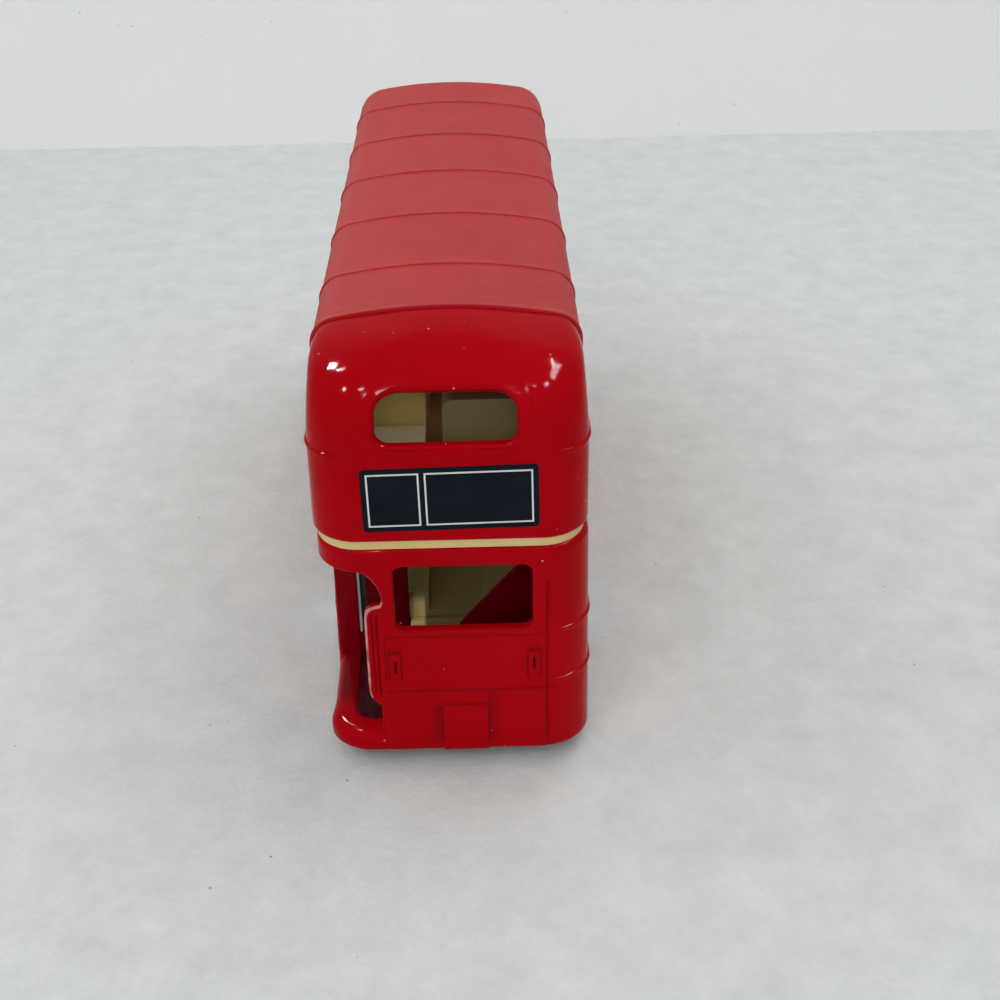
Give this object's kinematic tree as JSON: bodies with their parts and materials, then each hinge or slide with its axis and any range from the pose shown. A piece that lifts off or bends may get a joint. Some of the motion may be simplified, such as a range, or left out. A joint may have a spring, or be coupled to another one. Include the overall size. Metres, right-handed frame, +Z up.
{
  "type": "toy double-deck bus",
  "caption": "Red die-cast toy bus with stacked decks, a ribbed roof, an open rear platform, a half cab beside the bonnet, cream seats inside and free-rolling wheels.",
  "frame": {"origin": "on the ground under the middle of the bus's length and width", "axes": "+Z up, +Y forward towards the radiator, +X to the driver's side"},
  "size_m": [0.0362, 0.128, 0.0624],
  "materials": {
    "red_enamel": "glossy stoved enamel with small chips along its edges",
    "roof_red": "matte, dusty and a little faded",
    "cream_plastic": "satin moulded plastic, yellowed",
    "black_base": "satin black",
    "steel": "drawn pin, bare",
    "hub_silver": "satin cast centre",
    "tyre_black": "matte black",
    "bright_plate": "bright plated moulding"
  },
  "bodies": {
    "bus": {"lower_body": "red_enamel", "upper_body": "red_enamel", "roof_cover": "roof_red", "upper_interior": "cream_plastic", "lower_interior": "cream_plastic", "base_plate": "black_base", "base_rivets": "steel", "radiator_grille": "bright_plate", "headlamps": "bright_plate"},
    "front_wheels": {"front_axle": "steel", "hub_front_left": "hub_silver", "hub_front_right": "hub_silver", "tyre_front_left": "tyre_black", "tyre_front_right": "tyre_black"},
    "rear_wheels": {"rear_axle": "steel", "hub_rear_left": "hub_silver", "hub_rear_right": "hub_silver", "tyre_rear_left": "tyre_black", "tyre_rear_right": "tyre_black"}
  },
  "joints": [
    {"name": "front_axle_spin", "type": "hinge", "parent": "bus", "child": "front_wheels", "pos_m": [0, 0.0519, 0.0075], "axis": [1, 0, 0], "continuous": true},
    {"name": "rear_axle_spin", "type": "hinge", "parent": "bus", "child": "rear_wheels", "pos_m": [0, -0.0275, 0.0075], "axis": [1, 0, 0], "continuous": true}
  ]
}
